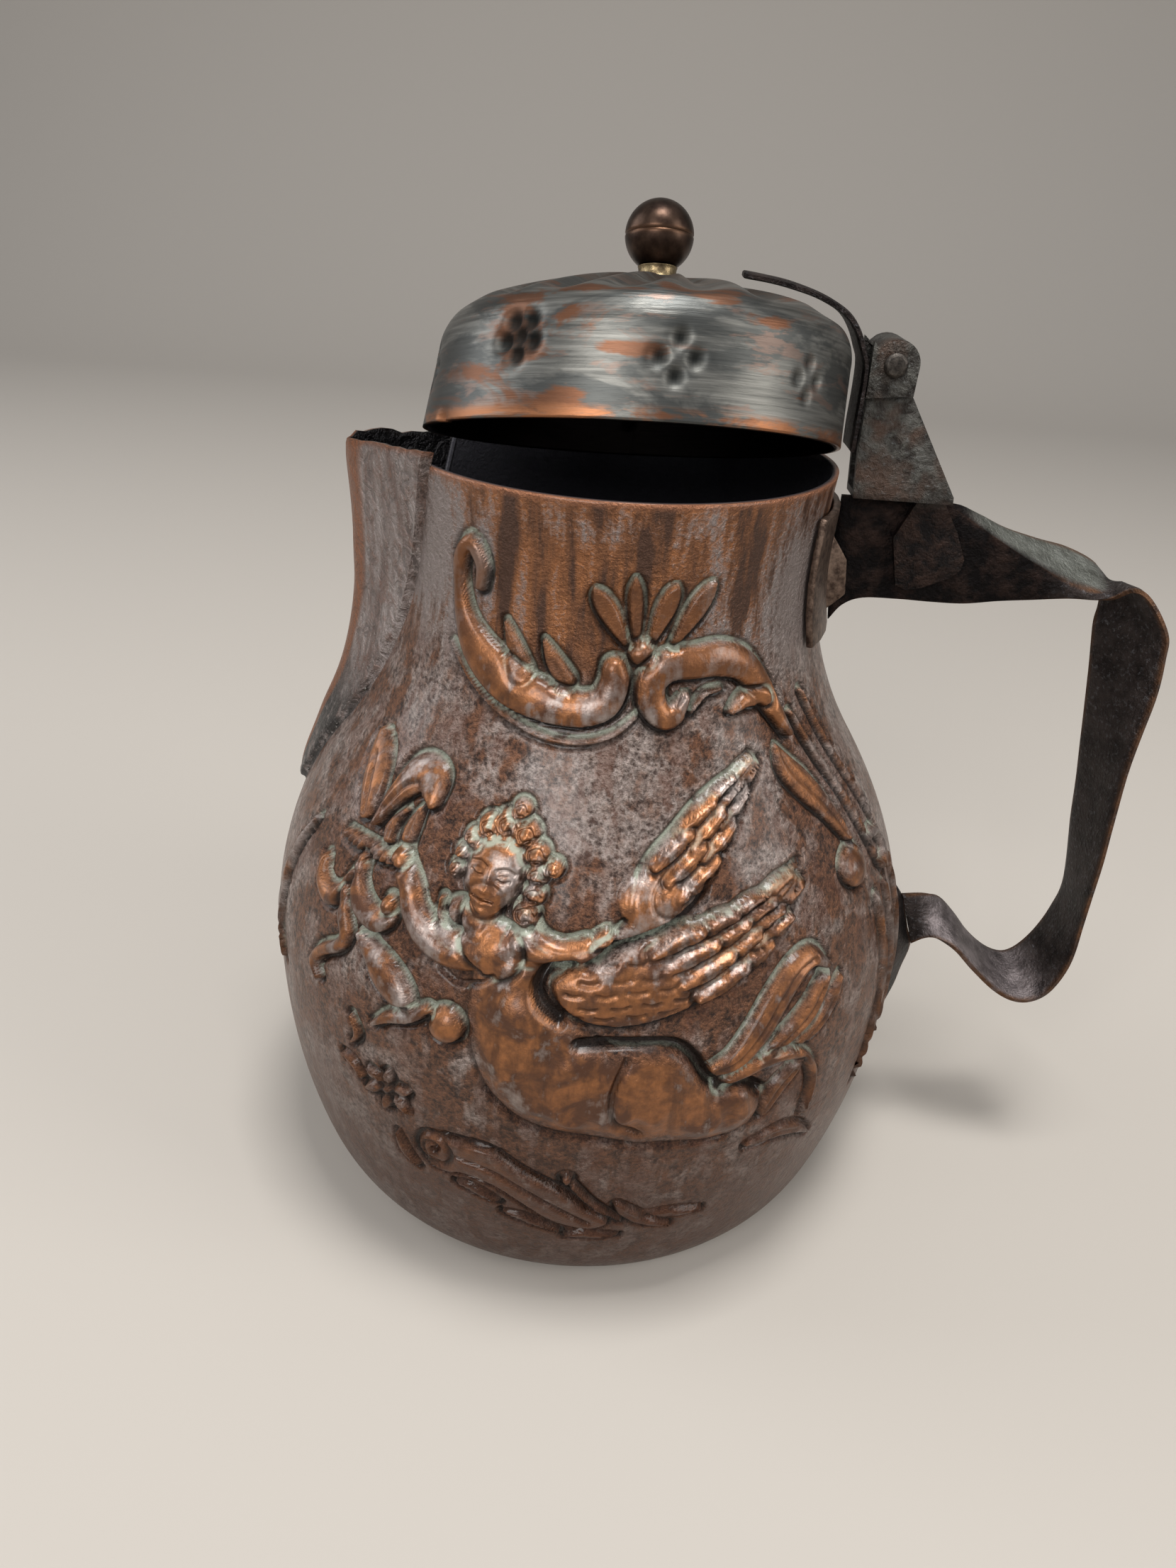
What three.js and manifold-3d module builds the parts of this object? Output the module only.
import * as THREE from 'three';
import { mergeVertices } from 'three/addons/utils/BufferGeometryUtils.js';
import Module from 'manifold-3d';

const wasm = await Module();
wasm.setup();

// Sizes in mm. Origin at the centre of the base on the floor, +Z up, +X to the handle.

// Body
const baseRadius = 47.8;
const heelRadius = 53.9;
const bellyRadius = 59.8;
const shoulderRadius = 46.1;
const waistRadius = 35.1;
const rimRadius = 36;
const heelHeight = 10;
const bellyHeight = 50;
const shoulderHeight = 90;
const waistHeight = 124;
const rimHeight = 138;
const bodyWall = 1.0;
const floorThickness = 1.2;
const reliefSink = 0.35;
const wideForm = 4.5;
const crownShare = 0.88;
const wideSection = [-1, -0.7, 0, 0.7, 1];
const narrowSection = [-1, -0.55, 0.55, 1];

// Clearances
const solderGap = 0.3;
const faceGap = 0.1;
const pinClearance = 0.07;
const mouthClearance = 0.45;

// Beak
const beakThickness = 1.0;
const beakSpread = 38;
const spoutCutHalfWidth = 20;
const spoutCutDepth = 40;

// Handle
const strapThickness = 1.2;
const collarThickness = 1.2;
const collarSpread = 28;
const tabThickness = 1.2;
const footThickness = 1.2;
const handleDrop = 4.8;
const handleTop = rimHeight - handleDrop;

// Hinge
const hingeReach = 5.8;
const hingeRise = 16.8;
const hingeX = rimRadius + hingeReach;
const hingeZ = rimHeight + hingeRise;
const pinRadius = 1.2;
const pinHeadRadius = 1.9;
const pinHeadHeight = 0.7;
const postHalfWidth = 3.4;
const plateThickness = 1.2;
const postEyeRadius = 2.5;
const knuckleEyeRadius = 3.8;
const knuckleHalfWidth = postHalfWidth + solderGap + plateThickness;
const pinHalfLength = knuckleHalfWidth + faceGap;

// Lid
const lidEdgeRadius = rimRadius - 2;
const lidWall = 0.9;
const lidWallHeight = 12;
const lidShoulderRadius = 7.8;
const lidHeight = 24.6;
const lidTaper = 0.083;
const lidLean = 0.116;
const lidTiltX = -15.6;
const lidTiltY = -1.1;
const lidCentre = new THREE.Vector3(1.6, -1.16, rimHeight + 1.8);
const strapThin = 1.1;
const legHalfWidth = 4.9;
const fingerHalfWidth = 4.0;
const legOuterX = hingeX - 3.8;

// Knob
const ballRadius = 5.5;
const ballWall = 0.9;
const ballRise = 6.9;
const stemRadius = 3.2;
const stemSeatRadius = 3.35;
const spigotRadius = 1.6;
const spigotClearance = 0.2;
const washerRadius = 4.2;
const washerThickness = 0.9;

// The typed lists below are for a jug 138 mm to the rim and 72 mm across it.
const heightScale = rimHeight / 138;
const widthScale = rimRadius / 36;
const bodySegments = 48;
const lidSegments = 40;
const smallSegments = 20;

const degrees = Math.PI / 180;

function solid(geometry) {
  const plain = new THREE.BufferGeometry();
  plain.setAttribute('position', geometry.getAttribute('position').clone());
  if (geometry.index) {
    plain.setIndex(geometry.index.clone());
  }
  const merged = mergeVertices(plain, 1e-4);
  const position = merged.getAttribute('position');
  const index = merged.index.array;
  const kept = [];
  let volume = 0;
  const a = new THREE.Vector3();
  const b = new THREE.Vector3();
  const c = new THREE.Vector3();
  for (let i = 0; i < index.length; i += 3) {
    const [p, q, r] = [index[i], index[i + 1], index[i + 2]];
    if (p === q || q === r || r === p) {
      continue;
    }
    kept.push(p, q, r);
    a.fromBufferAttribute(position, p);
    b.fromBufferAttribute(position, q);
    c.fromBufferAttribute(position, r);
    volume += a.dot(b.cross(c));
  }
  if (volume < 0) {
    for (let i = 0; i < kept.length; i += 3) {
      [kept[i], kept[i + 1]] = [kept[i + 1], kept[i]];
    }
  }
  merged.setIndex(kept);
  return new wasm.Manifold(new wasm.Mesh({
    numProp: 3,
    vertProperties: new Float32Array(position.array),
    triVerts: new Uint32Array(kept),
  }));
}

function geometryOf(shape) {
  const mesh = shape.getMesh();
  const geometry = new THREE.BufferGeometry();
  geometry.setAttribute('position', new THREE.BufferAttribute(new Float32Array(mesh.vertProperties), 3));
  geometry.setIndex(new THREE.BufferAttribute(new Uint32Array(mesh.triVerts), 1));
  return geometry;
}

const part = new THREE.Group();
part.name = 'lidded_jug';

function add(name, shape, color, roughness, metalness) {
  const geometry = geometryOf(shape);
  geometry.computeVertexNormals();
  const mesh = new THREE.Mesh(geometry, new THREE.MeshStandardMaterial({ color, roughness, metalness }));
  mesh.name = name;
  part.add(mesh);
}

// A turned shape about +Z from [radius, height] points.
function turned(profile, segments) {
  const points = profile.map(([r, z]) => new THREE.Vector2(r, z));
  const geometry = new THREE.LatheGeometry(points, segments);
  geometry.rotateX(Math.PI / 2);
  return geometry;
}

// A plate with an outline of [x, z] points, from y0 to y1.
function plate(outline, y0, y1) {
  const shape = new THREE.Shape(outline.map(([x, z]) => new THREE.Vector2(x, z)));
  const geometry = new THREE.ExtrudeGeometry(shape, { depth: y1 - y0, bevelEnabled: false });
  geometry.rotateX(Math.PI / 2);
  geometry.translate(0, y1, 0);
  return solid(geometry);
}

function union(shapes) {
  return shapes.reduce((sum, shape) => sum.add(shape));
}

// Sheet metal of even thickness about a grid of points.
function sheet(rows, thickness) {
  const m = rows.length;
  const n = rows[0].length;
  const normals = [];
  for (let i = 0; i + 1 < m; i += 1) {
    normals.push([]);
    for (let j = 0; j + 1 < n; j += 1) {
      const across = rows[i + 1][j + 1].clone().sub(rows[i][j]);
      const back = rows[i][j + 1].clone().sub(rows[i + 1][j]);
      normals[i].push(across.cross(back).normalize());
    }
  }
  const points = [];
  for (const side of [1, -1]) {
    for (let i = 0; i < m; i += 1) {
      for (let j = 0; j < n; j += 1) {
        const around = [];
        for (const p of [i - 1, i]) {
          for (const q of [j - 1, j]) {
            if (normals[p] && normals[p][q]) {
              around.push(normals[p][q]);
            }
          }
        }
        const mean = new THREE.Vector3();
        around.forEach((normal) => mean.add(normal));
        mean.normalize();
        const least = Math.min(...around.map((normal) => normal.dot(mean)));
        const reach = side * thickness / 2 / Math.max(0.6, least);
        points.push(rows[i][j].clone().addScaledVector(mean, reach));
      }
    }
  }
  const at = (side, i, j) => side * m * n + i * n + j;
  const index = [];
  const quad = (a, b, c, d) => index.push(a, b, c, a, c, d);
  for (let i = 0; i + 1 < m; i += 1) {
    for (let j = 0; j + 1 < n; j += 1) {
      quad(at(0, i, j), at(0, i, j + 1), at(0, i + 1, j + 1), at(0, i + 1, j));
      quad(at(1, i, j), at(1, i + 1, j), at(1, i + 1, j + 1), at(1, i, j + 1));
    }
    quad(at(0, i, 0), at(0, i + 1, 0), at(1, i + 1, 0), at(1, i, 0));
    quad(at(0, i + 1, n - 1), at(0, i, n - 1), at(1, i, n - 1), at(1, i + 1, n - 1));
  }
  for (let j = 0; j + 1 < n; j += 1) {
    quad(at(0, 0, j + 1), at(0, 0, j), at(1, 0, j), at(1, 0, j + 1));
    quad(at(0, m - 1, j), at(0, m - 1, j + 1), at(1, m - 1, j + 1), at(1, m - 1, j));
  }
  const geometry = new THREE.BufferGeometry().setFromPoints(points);
  geometry.setIndex(index);
  return solid(geometry);
}

// Body shell
const bodyKeys = [
  { r: baseRadius, z: 0, slope: 1.0 },
  { r: heelRadius, z: heelHeight, slope: 0.33 },
  { r: bellyRadius, z: bellyHeight, slope: 0 },
  { r: shoulderRadius, z: shoulderHeight, slope: -0.66 },
  { r: waistRadius, z: waistHeight, slope: 0 },
  { r: rimRadius, z: rimHeight, slope: 0.1 },
];

function bodyRadius(z) {
  const height = Math.min(Math.max(z, 0), rimHeight);
  const last = Math.max(1, bodyKeys.findIndex((key) => key.z >= height));
  const a = bodyKeys[last - 1];
  const b = bodyKeys[last];
  const span = b.z - a.z;
  const t = (height - a.z) / span;
  const rise = t * t * (3 - 2 * t);
  return a.r * (1 - rise) + b.r * rise
    + span * (a.slope * t * (1 - t) * (1 - t) - b.slope * t * t * (1 - t));
}

function bodySlope(z) {
  return bodyRadius(z + 0.5) - bodyRadius(z - 0.5);
}

const outerHeights = [0, 4, 8, 13, 20, 29, 40, 50, 59, 67, 74, 81, 88, 95, 102, 109, 116, 124, 131, 138];
const innerHeights = [137.9, 129, 120, 112, 104, 96, 88, 80, 71, 61, 50, 38, 26, 16, 8];
const bodyProfile = [[0, 0]];
outerHeights.forEach((z) => bodyProfile.push([bodyRadius(z * heightScale), z * heightScale]));
bodyProfile.push([rimRadius - bodyWall, rimHeight]);
innerHeights.slice(1).forEach((z) => {
  const height = z * heightScale;
  bodyProfile.push([bodyRadius(height) - bodyWall * Math.hypot(1, bodySlope(height)), height]);
});
const floorEdge = bodyRadius(4 * heightScale) - 2 * bodyWall;
bodyProfile.push([floorEdge, floorThickness + 1.4], [floorEdge - 2.5, floorThickness], [0, floorThickness]);

const spoutCut = new THREE.Shape([
  new THREE.Vector2(-spoutCutHalfWidth * 1.05, rimHeight + 1),
  new THREE.Vector2(spoutCutHalfWidth * 1.05, rimHeight + 1),
  new THREE.Vector2(0, rimHeight - spoutCutDepth),
]);
const cutGeometry = new THREE.ExtrudeGeometry(spoutCut, { depth: 50, bevelEnabled: false });
cutGeometry.rotateX(Math.PI / 2);
cutGeometry.rotateZ(Math.PI / 2);
cutGeometry.translate(-15 - 50, 0, 0);

// Relief hammered up from the wall. Each form runs along [azimuth, height, half width] points, with
// azimuth 0 at -Y and growing to the handle. A half width of 0 is a tip just under the wall's face.
const wingedFigure = [
  {
    rise: 2.1,
    points: [
      [-12.6, 76, 0], [-13.6, 79.6, 5.4], [-15.4, 83.4, 7.6], [-16.2, 87.6, 7], [-16.4, 91, 4.4], [-16.4, 94.6, 0],
    ],
  },
  {
    rise: 1.7,
    points: [
      [-12.6, 79.5, 0], [-12, 76, 3.6], [-10.8, 72, 5.8], [-10.6, 65, 6.8], [-7.4, 57, 10], [1, 51.8, 8.4],
      [12, 50.3, 9.2], [20.5, 46.4, 5.6], [27, 45.9, 4.6], [32, 45.8, 0],
    ],
  },
  {
    rise: 1.9,
    points: [
      [-36.8, 82.8, 0], [-34.8, 81.6, 2], [-31.4, 78.6, 2.2], [-28, 74.4, 2.8], [-22.3, 72, 3.3],
      [-16, 73, 3.8], [-9, 75, 0],
    ],
  },
  {
    rise: 1.75,
    points: [
      [-10.5, 75.2, 0], [-7, 74.8, 2.8], [0, 75, 2.1], [5.6, 78, 2.8], [11.4, 82.4, 4.6], [17, 87, 4.8],
      [22, 90.9, 3.9], [28.5, 94.7, 2.6], [33, 96.8, 1.4], [38, 99, 0],
    ],
  },
  {
    rise: 1.8,
    points: [
      [-6, 68.6, 0], [-2.6, 68.8, 3.8], [6, 69.6, 5.9], [13.5, 71.4, 6.6], [21.2, 74, 5.4], [27.5, 76.7, 3.7],
      [34, 79.8, 2.3], [38, 81.9, 1.3], [42.5, 84.2, 0],
    ],
  },
];
const tailLeaves = [
  { rise: 1.5, points: [[19.6, 54.4, 0], [25, 56.6, 2.2], [32.6, 64.6, 2.7], [39.6, 69.3, 2.3], [45, 67, 0]] },
  { rise: 1.25, points: [[29, 54.6, 0], [34.6, 58, 2], [39.8, 61.6, 2], [44.2, 66.4, 0]] },
  { rise: 1.05, points: [[36, 54.8, 0], [41, 57.5, 1.7], [44.6, 61, 1.7], [47.2, 65, 0]] },
  { rise: 1.15, points: [[21, 50.8, 0], [28, 53.8, 1.5], [36.4, 53.6, 1.3], [41.2, 47.5, 1], [41, 38.6, 0]] },
  { rise: 0.95, points: [[30.8, 42.4, 0], [33.8, 47.6, 2.1], [36.6, 50.4, 1.6], [38.6, 52.2, 0]] },
  { rise: 0.75, points: [[29, 36, 0], [36, 36.4, 1.6], [41, 34.4, 1.4], [46, 30.6, 0]] },
];
const neckScrolls = [
  {
    rise: 1.75,
    points: [
      [-33.2, 121.5, 0], [-33.2, 126.4, 1.2], [-36.8, 128.8, 1.5], [-40.2, 125.4, 1.4], [-38.8, 118.6, 1.8],
      [-33, 113.2, 3], [-24, 109.6, 3.7], [-11, 107.2, 3.2], [-2, 107.2, 2.9], [2.4, 110.4, 2.6], [2.4, 115.4, 0],
    ],
  },
  {
    rise: 1.75,
    points: [
      [20.6, 110.6, 0], [18, 107, 1.7], [13.6, 106.4, 2.3], [11, 110, 2.5], [14, 113.6, 2.6],
      [24, 114.3, 2.9], [35, 113.3, 2.9], [42, 108.4, 2.2], [45.4, 104.4, 1.6], [48.6, 100, 0],
    ],
  },
  { rise: 0.9, points: [[-4.8, 126.6, 0], [-1.4, 122.9, 1.7], [2.8, 119, 1.5], [5.4, 116.6, 0]] },
  { rise: 0.9, points: [[5.8, 128.8, 0], [6.4, 124.6, 1.3], [7, 120, 1.3], [7.4, 116.8, 0]] },
  { rise: 0.9, points: [[17.4, 127.8, 0], [15, 124, 1.7], [12.6, 119.8, 1.6], [10.6, 116.8, 0]] },
  { rise: 0.9, points: [[27.6, 127.8, 0], [23.2, 123.8, 1.8], [19, 119.8, 1.7], [15.6, 116.6, 0]] },
  { rise: 1.3, points: [[6, 115.8, 0], [7.6, 115.8, 2], [9.8, 115.8, 2], [11.4, 115.8, 0]] },
  { rise: 0.95, points: [[-18.8, 110.4, 0], [-21.6, 113.6, 1.7], [-25.8, 118.8, 0]] },
  { rise: 0.95, points: [[-8.4, 110.2, 0], [-11.6, 113, 1.7], [-15.2, 117, 0]] },
  { rise: 1.1, points: [[42, 109, 0], [36, 107.7, 1.7], [30.4, 105.8, 0]] },
  { rise: 1.1, points: [[43, 100.4, 0], [46, 95.4, 2.6], [52.4, 89.8, 2.8], [56.4, 84.8, 1.8], [59, 80.2, 0]] },
  { rise: 1.55, points: [[51.4, 78.7, 0], [54, 78.7, 3.3], [58.6, 78.7, 3.3], [61.2, 78.7, 0]] },
];
const sideStraps = [
  { rise: 0.85, points: [[50.4, 104.2, 0], [56, 97, 1.1], [61, 90, 1.2], [64.5, 82, 1.1], [67.4, 73.6, 0]] },
  { rise: 0.75, points: [[56.4, 106.6, 0], [62, 99, 1], [67, 91, 1.1], [71.6, 80.6, 0]] },
  { rise: 1, points: [[65, 80.4, 0], [69.8, 79.8, 1.3], [72, 76.6, 1.3], [69.4, 73, 0]] },
  { rise: 0.95, points: [[62.2, 73, 0], [63.5, 62, 1.2], [63.5, 52, 1.2], [62, 42, 1], [59.6, 32, 0]] },
  { rise: 0.85, points: [[67.8, 73, 0], [69, 60, 1.1], [69, 50, 1.1], [67.2, 38, 0]] },
  { rise: 0.85, points: [[73.8, 76, 0], [75.5, 62, 1.1], [75.5, 50, 1.1], [73.6, 36, 0]] },
  { rise: 0.95, points: [[-61.4, 79.6, 0], [-66, 71, 1.4], [-68, 63, 1.6], [-67, 55, 1.2], [-63.6, 47.6, 0]] },
];
const garland = [
  { rise: 1.2, points: [[-47.2, 83, 0], [-49.6, 88, 3], [-52.6, 92.4, 3], [-55.4, 97, 0]] },
  { rise: 1.4, points: [[-44.2, 82.8, 0], [-42, 88.8, 2.1], [-38, 92.8, 3.2], [-34, 92, 2.5], [-32.8, 88.6, 0]] },
  { rise: 0.95, points: [[-35, 82.4, 0], [-35.4, 86, 1.6], [-34.4, 89.8, 0]] },
  { rise: 1.05, points: [[-52, 80.3, 0], [-48, 80.3, 1.5], [-38, 80.7, 1.6], [-34.4, 80.9, 0]] },
  { rise: 1.5, points: [[-43.4, 80, 0], [-42.6, 75, 1.9], [-38.6, 71.5, 2.4], [-34.4, 72.8, 2], [-34.4, 77, 0]] },
  { rise: 1.3, points: [[-54.2, 76.4, 0], [-52.4, 71.8, 1.8], [-48.6, 70.4, 2.1], [-44.6, 77.2, 0]] },
  { rise: 1.2, points: [[-44.8, 74, 0], [-43, 67, 1.6], [-47, 61.4, 1.4], [-49.4, 57.6, 1.3], [-46.6, 55, 0]] },
  { rise: 1.65, points: [[-40, 69.6, 0], [-35.5, 66.4, 2.1], [-31, 63.4, 3.4], [-28.4, 61.7, 2.4], [-25.8, 60, 0]] },
  { rise: 1.05, points: [[-22.6, 61.6, 0], [-27, 58.9, 1.5], [-30.6, 57.2, 1.3], [-34.2, 54.4, 0]] },
  { rise: 1.8, points: [[-24, 60, 0], [-22, 60, 2.9], [-18.6, 60, 2.9], [-16.6, 60, 0]] },
];
const lowScroll = [
  { rise: 0.75, points: [[-34.8, 41.2, 0], [-32.4, 41.2, 2.9], [-28.8, 41.2, 2.9], [-26.4, 41.2, 0]] },
  {
    rise: 0.85,
    points: [
      [-27, 32.6, 0], [-23, 32.8, 3.8], [-16, 33, 4], [-8.4, 29.6, 4.4], [-1.6, 25.2, 4], [4, 22.2, 2.8],
      [9.4, 20.2, 0],
    ],
  },
  { rise: 0.95, points: [[-1.6, 34.4, 0], [1.2, 31.4, 1.2], [4.6, 26.6, 0.9], [10.4, 21.2, 0]] },
  { rise: 0.8, points: [[8, 27.2, 0], [11, 23.5, 1.5], [14.8, 20.9, 1.3], [19.4, 18.8, 0]] },
];

// A form's sections: shares of the half width, with crownShare of the rise at the shares between the
// middle and the edges. A wide form is arched, so it has a crest and a point under the wall's face.
function reliefForm({ rise, points }) {
  const wide = points.some(([, , half]) => half > wideForm);
  const across = wide ? wideSection : narrowSection;
  const count = across.length + (wide ? 1 : 0);
  const rings = points.map(([azimuth, height, half], k) => {
    const z = height * heightScale;
    const perDegree = bodyRadius(z) * degrees;
    const stretch = Math.hypot(1, bodySlope(z));
    const before = points[Math.max(0, k - 1)];
    const after = points[Math.min(points.length - 1, k + 1)];
    const forward = new THREE.Vector2(
      (after[0] - before[0]) * perDegree,
      (after[1] - before[1]) * heightScale * stretch,
    ).normalize();
    const place = (share, lift) => {
      const reach = share * half * widthScale;
      const level = z + forward.x * reach / stretch;
      const angle = (azimuth - forward.y * reach / perDegree - 90) * degrees;
      const radius = bodyRadius(level) + lift;
      return new THREE.Vector3(radius * Math.cos(angle), radius * Math.sin(angle), level);
    };
    const tip = half === 0;
    const ring = across.map((share) => {
      if (tip || Math.abs(share) === 1) {
        return place(share, -reliefSink);
      }
      return place(share, share === 0 ? rise : crownShare * rise);
    });
    return wide ? [...ring, place(0, tip ? -reliefSink : -2 * reliefSink)] : ring;
  });
  const index = [];
  for (let i = 0; i + 1 < rings.length; i += 1) {
    for (let j = 0; j < count; j += 1) {
      const next = (j + 1) % count;
      const [a, b] = [i * count + j, i * count + next];
      index.push(a, b, b + count, a, b + count, a + count);
    }
  }
  const geometry = new THREE.BufferGeometry().setFromPoints(rings.flat());
  geometry.setIndex(index);
  return solid(geometry);
}

const reliefForms = [...wingedFigure, ...tailLeaves, ...neckScrolls, ...sideStraps, ...garland, ...lowScroll];
const nearRelief = reliefForms.map(reliefForm);
const farRelief = nearRelief.map((form) => form.rotate([0, 0, 180]));
const shell = union([solid(turned(bodyProfile, bodySegments)), ...nearRelief, ...farRelief]);
add('body', shell.subtract(solid(cutGeometry)), '#7b4a30', 0.42, 0.9);

// Beak: each row runs from the near lap over the fold to the far lap. Drops are below the rim, and
// proud is how far the fold stands off the neck.
const beakRows = [
  { near: -2.4, fold: 1.4, far: 2.0, proud: 10.1, spread: 1 },
  { near: 6.3, fold: 6.3, far: 6.3, proud: 10.4, spread: 0.86 },
  { near: 18.4, fold: 18.4, far: 18.4, proud: 9.8, spread: 0.7 },
  { near: 26.1, fold: 26.1, far: 26.1, proud: 8.5, spread: 0.6 },
  { near: 35.5, fold: 35.5, far: 35.5, proud: 6.9, spread: 0.47 },
  { near: 45.4, fold: 45.4, far: 45.4, proud: 5.0, spread: 0.33 },
  { near: 53, fold: 53, far: 53, proud: 3.5, spread: 0.2 },
  { near: 60.4, fold: 60.4, far: 60.4, proud: 2.2, spread: 0.11 },
  { near: 64.3, fold: 64.3, far: 64.3, proud: 1.2, spread: 0.05 },
];
const beakSteps = [-1, -0.7, -0.38, -0.07, 0, 0.07, 0.38, 0.7, 1];
const raggedTop = [0, 0, 0, 0, 0, 1.9, 1.0, -0.9, 0];
const lapOffset = solderGap + beakThickness / 2;
const beakGrid = beakRows.map((row, k) => {
  const lapPoint = (drop, sign) => {
    const z = rimHeight - drop * heightScale;
    const reach = bodyRadius(z) + lapOffset * Math.hypot(1, bodySlope(z)) + 0.1;
    const angle = sign * row.spread * beakSpread * degrees;
    return new THREE.Vector3(-reach * Math.cos(angle), reach * Math.sin(angle), z);
  };
  const near = lapPoint(row.near, -1);
  const far = lapPoint(row.far, 1);
  const foldZ = rimHeight - row.fold * heightScale;
  const least = bodyRadius(foldZ) + 1.5 * lapOffset * Math.hypot(1, bodySlope(foldZ)) + 0.2;
  const fold = new THREE.Vector3(-Math.max(bodyRadius(foldZ) + row.proud * widthScale, least), 0, foldZ);
  return beakSteps.map((step, j) => {
    const side = step < 0 ? near : far;
    const point = fold.clone().lerp(side, Math.abs(step));
    if (Math.abs(step) < 0.1) {
      point.x += step === 0 ? 0.5 * row.spread : 0;
    }
    if (k === 0) {
      point.z += raggedTop[j];
    }
    return point;
  });
});
add('beak', sheet(beakGrid, beakThickness), '#86573a', 0.5, 0.85);

// Neck collar with the two tabs that hold the handle's upper end
const collarHeights = [112, 117, 122, 127.5, 133].map((z) => z * heightScale);
const collarAngles = [-4, -3, -2, -1, 0, 1, 2, 3, 4].map((k) => k / 4 * collarSpread * degrees);
const collarGrid = collarHeights.map((z) => collarAngles.map((angle) => {
  const reach = bodyRadius(z) + solderGap + 0.1 + collarThickness / 2;
  return new THREE.Vector3(reach * Math.cos(angle), reach * Math.sin(angle), z);
}));
const collarOuter = (z) => bodyRadius(z) + solderGap + 0.1 + collarThickness;
const tabRoot = (z) => [collarOuter(z * heightScale) - 0.5 * collarThickness, z * heightScale];
const tabTip = (proud, z) => [collarOuter(z * heightScale) + proud * widthScale, z * heightScale];
const tabOutline = [
  tabRoot(127.9), tabTip(3.2, 122.6), tabTip(3.4, 116.6), tabTip(2.2, 115.5), tabRoot(113.2), tabRoot(120),
];
const tabInner = strapThickness / 2 + faceGap;
const tabs = [
  plate(tabOutline, -tabInner - tabThickness, -tabInner),
  plate(tabOutline, tabInner, tabInner + tabThickness),
];
add('neck_collar', union([sheet(collarGrid, collarThickness), ...tabs]), '#8a7148', 0.5, 0.8);

// Handle strap. Each station gives its far or top edge, its crease and its near or bottom edge as
// offsets from a point between the waist (0) and the belly (1).
const strapStations = [
  [0, [2.5, 0, 0], [2.3, 0, -11], [3.5, 0, -21.8]],
  [0, [5.6, 0, 0], [5.6, 0, -9], [5.6, 0, -18.9]],
  [0, [8.9, 0, 0], [8.9, 0, -7], [8.9, 0, -17.4]],
  [0, [14.9, 0, 0], [14.9, 0, -4], [14.9, 0, -17.2]],
  [0, [20.4, 0, 0], [20.4, 0, -0.8], [20.7, 0, -17.3]],
  [0, [26.3, 2.4, -2.4], [26, 0, -3.6], [26.4, 0, -17.2]],
  [0, [31.7, 4.6, -4.8], [31.7, 0, -6.9], [31.9, 0, -16.4]],
  [0, [38.7, 7, -6.9], [37.4, 0, -9.9], [37.9, 0, -15.7]],
  [0, [45.3, 9.5, -8.7], [43.9, 0, -12.8], [44.2, 0, -15]],
  [0, [51.1, 9.8, -11.3], [50.2, 0.4, -14.2], [50.9, -0.4, -14.7]],
  [0, [52.9, 8.6, -14.8], [53.9, 3, -12.8], [53.8, -2.8, -12.2]],
  [0, [52.8, 7.2, -18], [55.7, 1.6, -15.3], [56.3, -4.5, -13.2]],
  [0, [52.5, 6.7, -20.6], [56.4, 0.1, -18.8], [59.7, -6.5, -18.2]],
  [0, [52.9, 6.5, -24.2], [56.9, 0, -23.3], [60.6, -6.5, -22.6]],
  [0, [54.3, 6.5, -32.2], [57.7, 0, -31.5], [61, -6.5, -30.2]],
  [1 / 3, [47.7, 6.5, -15.5], [49.85, 0, -15.25], [52, -6.5, -15]],
  [2 / 3, [42, 6.5, -4.2], [43, 0, -4.45], [44, -6.5, -4.7]],
  [1, [35.8, 6.5, 9], [35.65, -0.15, 8.7], [35.5, -6.8, 8.4]],
  [1, [34.8, 6.5, 1.6], [35.15, -0.25, 0.8], [35.5, -7, 0]],
  [1, [33.1, 6.6, -3.7], [33.85, -0.2, -4.75], [34.6, -7, -5.8]],
  [1, [30.8, 6.7, -8], [31.7, -0.15, -9.2], [32.6, -7, -10.4]],
  [1, [28.4, 6.7, -10.2], [29, -0.15, -11.4], [29.6, -7, -12.6]],
  [1, [25.8, 6.6, -10.4], [26, -0.1, -11.55], [26.2, -6.8, -12.7]],
  [1, [22.4, 6.3, -8.8], [22.3, 0, -9.8], [22.2, -6.3, -10.8]],
  [1, [18.4, 5.8, -5.4], [17.9, 0, -6.05], [17.4, -5.8, -6.7]],
  [1, [14.7, 5.4, -1], [14.1, 0.2, -2], [13.5, -5, -3]],
  [1, [10.8, 4, 3.2], [10.5, 0.4, 0.6], [10.2, -3.2, -2]],
  [1, [7.4, 1.6, 5.4], [7.8, 0.2, 1], [8.2, -1.2, -3.4]],
  [1, [3.3, 0, 5.8], [5.2, 0, 0.1], [7.1, 0, -5.6]],
];
const strapLines = [1, 2, 3].map((column) => {
  const points = strapStations.map((station) => {
    const [w, offset] = [station[0], station[column]];
    return new THREE.Vector3(
      waistRadius + w * (bellyRadius - waistRadius) + offset[0] * widthScale,
      offset[1] * widthScale,
      handleTop + w * (bellyHeight - handleTop) + offset[2] * heightScale,
    );
  });
  return new THREE.CatmullRomCurve3(points, false, 'centripetal');
});
const strapGrid = [];
for (let k = 0; k <= 2 * (strapStations.length - 1); k += 1) {
  const t = k / 2 / (strapStations.length - 1);
  const [top, crease, bottom] = strapLines.map((line) => line.getPoint(t));
  strapGrid.push([top, top.clone().lerp(crease, 0.5), crease, crease.clone().lerp(bottom, 0.5), bottom]);
}
add('handle_strap', sheet(strapGrid, strapThickness), '#3f3a36', 0.5, 0.8);

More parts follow.
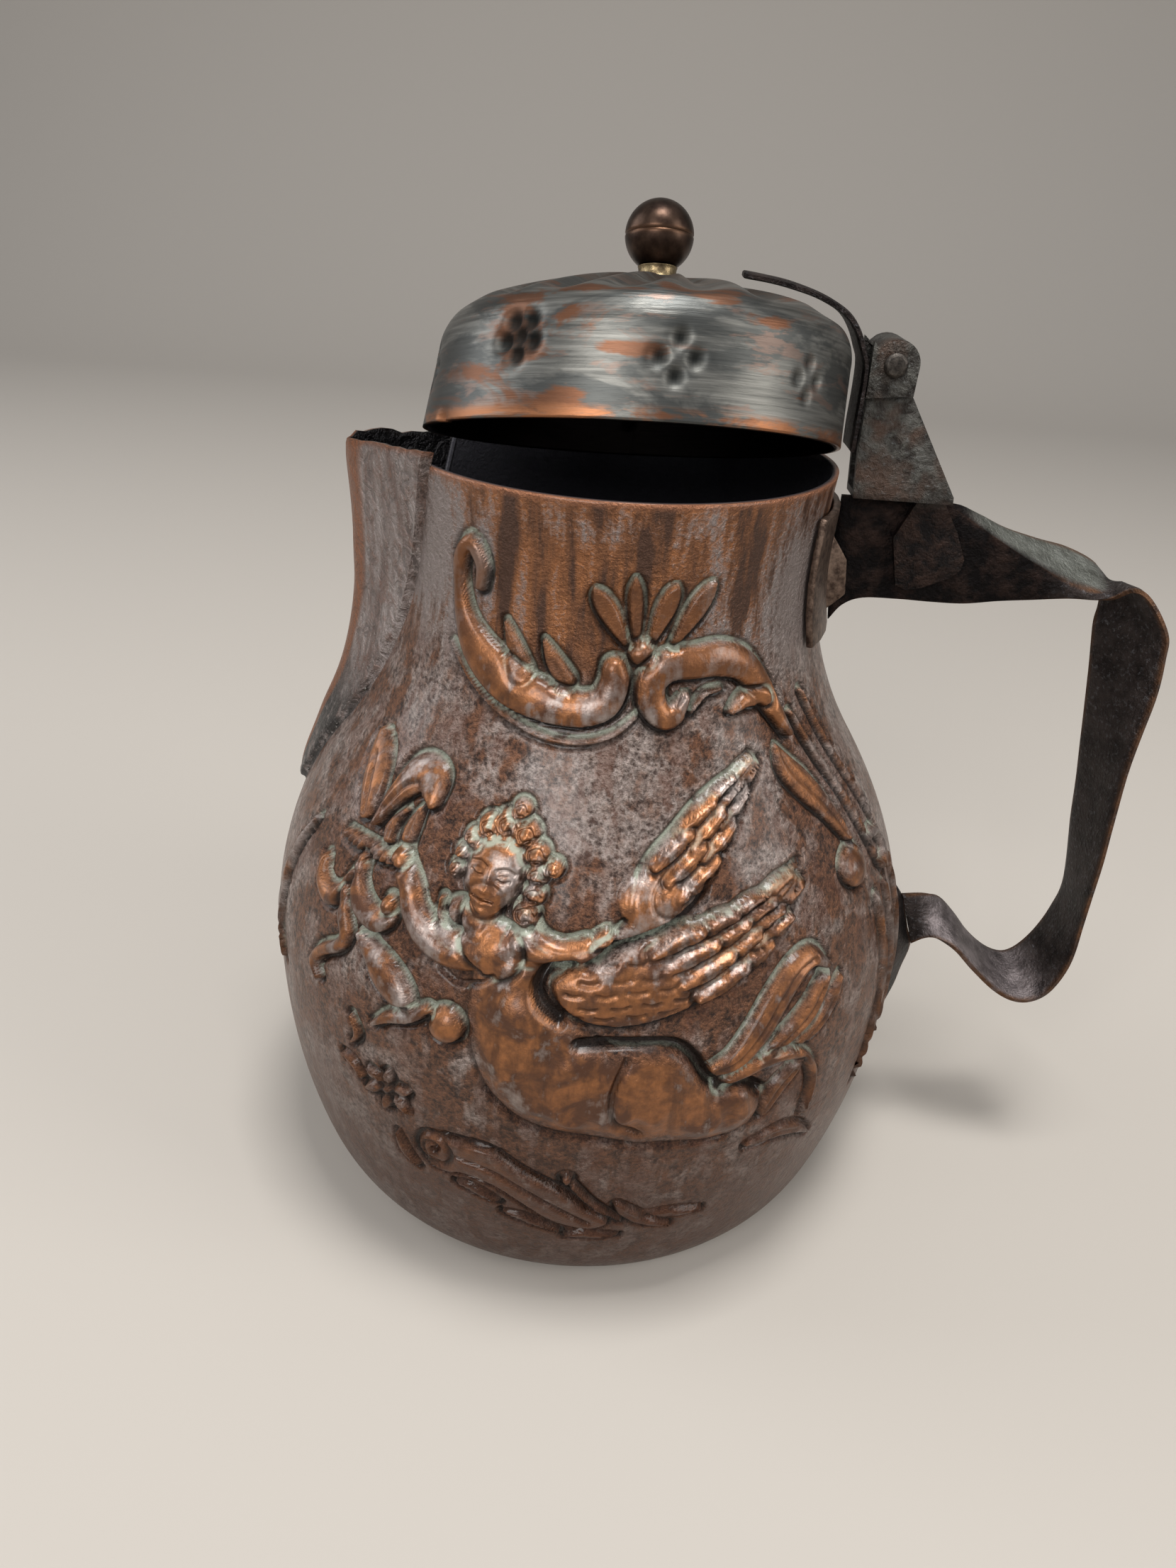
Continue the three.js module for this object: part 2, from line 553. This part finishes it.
// Handle foot: ridged leaf on the belly, [height, ridge radius, half width]
const footRows = [
  [57.6, 60.0, 0.5], [55.3, 61.6, 2.4], [52, 62.7, 5], [48, 64.0, 6.3], [44, 65.3, 7], [38.5, 64.4, 6.3],
  [34, 63.7, 5.5], [28, 62.2, 4.1], [24, 61.4, 3], [19.5, 58.8, 1.6], [15.5, 56.1, 0.5],
];
const footGrid = footRows.map(([z, ridge, half]) => {
  const height = bellyHeight + (z - 50) * heightScale;
  const seat = bodyRadius(height) + (solderGap + 0.1 + footThickness / 2) * Math.hypot(1, bodySlope(height));
  const crest = Math.max(seat + 0.1, bellyRadius + (ridge - 59.8) * widthScale);
  const edge = Math.sqrt(seat * seat - half * half);
  return [-1, -0.5, 0, 0.5, 1].map((side) => new THREE.Vector3(
    crest + (edge - crest) * Math.abs(side),
    side * half,
    height,
  ));
});
add('handle_foot', sheet(footGrid, footThickness), '#6a5138', 0.5, 0.8);

// Hinge post: two cheeks and a sloping web on a base plate, with a tongue down the near face
function arc(radius, from, to, steps) {
  const points = [];
  for (let k = 0; k <= steps; k += 1) {
    const angle = (from + (to - from) * k / steps) * degrees;
    points.push([hingeX + radius * Math.cos(angle), hingeZ + radius * Math.sin(angle)]);
  }
  return points;
}

const postBottom = handleTop + solderGap;
const postOutline = [
  [hingeX - 2.9, postBottom], [hingeX - 3.4, hingeZ - 13.2], [hingeX - 3.3, hingeZ - 4.8],
  ...arc(postEyeRadius, 180, -50, 12),
  [hingeX + 3.8, hingeZ - 4.6], [hingeX + 13.5, handleTop + 1.5], [hingeX + 13.6, postBottom],
];
const webOutline = [
  [hingeX + 3.8, hingeZ - 4.6], [hingeX + 13.5, handleTop + 1.5], [hingeX + 13.6, postBottom],
  [hingeX + 12.2, postBottom], [hingeX + 12.2, handleTop + 1.2], [hingeX + 2.8, hingeZ - 5.2],
];
const baseOutline = [
  [hingeX - 2.9, postBottom], [hingeX + 13.6, postBottom], [hingeX + 13.5, postBottom + plateThickness],
  [hingeX - 3.0, postBottom + plateThickness],
];
const tongueOutline = [
  [50.2, 0.7], [47, -6.2], [48.8, -14.4], [50.9, -15.1], [53.4, -14.5], [57.9, -12.4], [59.4, -10.9],
  [59.6, -9.1], [57.5, -4.6], [54.2, 0.7],
].map(([x, z]) => [x + hingeX - 41.8, handleTop + z]);
const cheekInner = postHalfWidth - plateThickness;
const pinBore = (pinRadius + pinClearance) / Math.cos(Math.PI / smallSegments);
const drill = new THREE.CylinderGeometry(pinBore, pinBore, 40, smallSegments);
drill.translate(hingeX, 0, hingeZ);
const drillHole = solid(drill);
const tongueInner = strapThickness / 2 + faceGap;
const post = union([
  plate(postOutline, -postHalfWidth, -cheekInner),
  plate(postOutline, cheekInner, postHalfWidth),
  plate(webOutline, -postHalfWidth + 0.2, postHalfWidth - 0.2),
  plate(baseOutline, -postHalfWidth, postHalfWidth),
  plate(tongueOutline, -tongueInner - plateThickness, -tongueInner),
]).subtract(drillHole);
add('hinge_post', post, '#57564c', 0.5, 0.8);

// Hinge pin with peened heads
const headStart = pinHalfLength;
const headEnd = pinHalfLength + pinHeadHeight;
const pinProfile = [
  [0, -headEnd], [pinHeadRadius - 0.5, -headEnd], [pinHeadRadius, -headStart - 0.3],
  [pinHeadRadius, -headStart], [pinRadius, -headStart], [pinRadius, headStart],
  [pinHeadRadius, headStart], [pinHeadRadius, headStart + 0.3], [pinHeadRadius - 0.5, headEnd],
  [0, headEnd],
].map(([r, y]) => new THREE.Vector2(r, y));
const pinGeometry = new THREE.LatheGeometry(pinProfile, smallSegments);
pinGeometry.translate(hingeX, 0, hingeZ);
add('hinge_pin', solid(pinGeometry), '#6b6458', 0.5, 0.8);

// Lid knuckle: cheeks outside the post and a curved web over the post's eyes
const knuckleOutline = [
  [legOuterX, hingeZ - 5.2], [hingeX + 3.6, hingeZ - 4.5],
  ...arc(knuckleEyeRadius, -10, 120, 10),
  [hingeX - 2.9, hingeZ + 2.4], [legOuterX, hingeZ + 3.2],
];
const knuckleWeb = [
  ...arc(knuckleEyeRadius, 60, 145, 8),
  ...arc(postEyeRadius + solderGap, 145, 60, 8),
];
const knuckleInner = postHalfWidth + solderGap;
const knuckle = union([
  plate(knuckleOutline, -knuckleHalfWidth, -knuckleInner),
  plate(knuckleOutline, knuckleInner, knuckleHalfWidth),
  plate(knuckleWeb, -knuckleInner - 0.4, knuckleInner + 0.4),
]).subtract(drillHole);
add('lid_knuckle', knuckle, '#5c564a', 0.5, 0.8);

// Lid strap: leg on the lid's back wall, finger sprung up over the dome
const legMid = legOuterX - strapThin / 2;
const strapPath = [
  [legMid, 3, 0.9], [legMid, 7, 1], [legMid, 15.5, 1], [legMid - 0.9, 18.6, 0.99], [legMid - 2.3, 21.5, 0.95],
  [legMid - 4.4, 23.8, 0.9], [legMid - 8.2, 25.6, 0.84], [legMid - 12.3, 26.8, 0.8],
  [legMid - 16.9, 27.6, 0.76], [legMid - 19.4, 27.9, 0.66], [legMid - 20.5, 28, 0.45],
];
const lidStrapGrid = strapPath.map(([x, rise, share], k) => {
  const half = k < 5 ? legHalfWidth * share : fingerHalfWidth * share / 0.9;
  return [-1, 0, 1].map((side) => new THREE.Vector3(x, side * half, rimHeight + rise));
});
add('lid_strap', sheet(lidStrapGrid, strapThin), '#6d6a5a', 0.5, 0.8);

// Lid shell, leaning to the hinge and tilted on its strap
const lidShear = new THREE.Matrix4().set(1, 0, lidLean, 0, 0, 1, 0, 0, 0, 0, 1, 0, 0, 0, 0, 1);
const lidPlace = new THREE.Matrix4().makeTranslation(lidCentre.x, lidCentre.y, lidCentre.z)
  .multiply(new THREE.Matrix4().makeRotationY(lidTiltY * degrees))
  .multiply(new THREE.Matrix4().makeRotationX(lidTiltX * degrees));
const domeEdge = 70;
const lidTopRadius = lidEdgeRadius - lidTaper * lidWallHeight;
const arcRadius = lidTopRadius - lidShoulderRadius;
const domeRadius = arcRadius + lidShoulderRadius * Math.cos(domeEdge * degrees);
const domeStart = lidWallHeight + lidShoulderRadius * Math.sin(domeEdge * degrees);

function lidSide(inset) {
  const points = [[lidEdgeRadius - inset, 0], [lidTopRadius - inset, lidWallHeight]];
  for (const angle of [15, 30, 45, 58]) {
    const reach = lidShoulderRadius - inset;
    points.push([arcRadius + reach * Math.cos(angle * degrees), lidWallHeight + reach * Math.sin(angle * degrees)]);
  }
  for (const share of [1, 0.82, 0.62, 0.42]) {
    points.push([domeRadius * share, lidHeight - (lidHeight - domeStart) * share * share - inset]);
  }
  points.push([washerRadius + 0.4, lidHeight - inset], [0, lidHeight - inset]);
  return points;
}

const lidGeometry = turned([...lidSide(0), ...lidSide(lidWall).reverse(), [lidEdgeRadius, 0]], lidSegments);
lidGeometry.applyMatrix4(lidShear);
lidGeometry.applyMatrix4(lidPlace);

// The far skirt hangs inside the mouth, so it is trimmed to clear the neck's inner face.
const trimProfile = [[rimRadius + 20, 100 * heightScale]];
[100, 116, 124, 130, 134].forEach((z) => {
  trimProfile.push([bodyRadius(z * heightScale) - bodyWall - mouthClearance, z * heightScale]);
});
trimProfile.push([rimRadius - bodyWall - mouthClearance, rimHeight + mouthClearance]);
trimProfile.push([rimRadius + 20, rimHeight + mouthClearance], trimProfile[0]);
const trim = solid(turned(trimProfile, lidSegments));

const knobX = lidLean * lidHeight - 0.2;
const bore = spigotRadius + spigotClearance;
const boreGeometry = new THREE.CylinderGeometry(bore, bore, 12, smallSegments);
boreGeometry.rotateX(Math.PI / 2);
boreGeometry.translate(knobX, 0, lidHeight);
boreGeometry.applyMatrix4(lidPlace);
add('lid', solid(lidGeometry).subtract(trim).subtract(solid(boreGeometry)), '#8d8f86', 0.38, 0.9);

// Knob: stem through the dome, two halves of a hollow ball, washer under the dome
function onLid(profile) {
  const geometry = turned(profile, smallSegments);
  geometry.translate(knobX, 0, lidHeight);
  geometry.applyMatrix4(lidPlace);
  return solid(geometry);
}

const cup = (r) => ballRise - Math.sqrt((ballRadius + 0.2) ** 2 - r * r);
const stack = lidWall + washerThickness;
const spigotTop = ballRise - ballRadius + 1.6;
add('knob_stem', onLid([
  [0, -stack - 0.7], [spigotRadius + 0.2, -stack - 0.7], [spigotRadius + 0.6, -stack - 0.2],
  [spigotRadius + 0.6, -stack], [spigotRadius, -stack], [spigotRadius, 0], [stemSeatRadius, 0],
  [stemSeatRadius, 0.4], [stemRadius - 0.15, 1.1], [stemRadius, cup(stemRadius) - 0.05],
  [2.5, cup(2.5)], [spigotRadius, cup(spigotRadius)], [spigotRadius, spigotTop], [0, spigotTop],
]), '#7a6a50', 0.45, 0.85);

function ballArc(radius, from, to, steps) {
  const points = [];
  for (let k = 0; k <= steps; k += 1) {
    const angle = (from + (to - from) * k / steps) * degrees;
    points.push([radius * Math.cos(angle), ballRise + radius * Math.sin(angle)]);
  }
  return points;
}

const neckAngle = -Math.acos((spigotRadius + spigotClearance) / ballRadius) / degrees;
const innerNeckAngle = -Math.acos((spigotRadius + spigotClearance) / (ballRadius - ballWall)) / degrees;
const seamRadius = ballRadius - 0.12;
const lowerHalf = [
  ...ballArc(ballRadius, neckAngle, -4, 6), [seamRadius, ballRise],
  ...ballArc(ballRadius - ballWall, 0, innerNeckAngle, 5),
];
lowerHalf.push(lowerHalf[0]);
add('knob_lower', onLid(lowerHalf), '#4c382a', 0.4, 0.85);
const upperHalf = [
  [0, ballRise + ballRadius], ...ballArc(ballRadius, 76, 4, 6), [seamRadius, ballRise],
  ...ballArc(ballRadius - ballWall, 0, 70, 4), [0, ballRise + ballRadius - ballWall],
];
add('knob_upper', onLid(upperHalf), '#4a3528', 0.4, 0.85);
add('knob_washer', onLid([
  [bore, -lidWall], [washerRadius, -lidWall], [washerRadius, -stack], [bore, -stack], [bore, -lidWall],
]), '#7a6a50', 0.5, 0.8);

export default part;
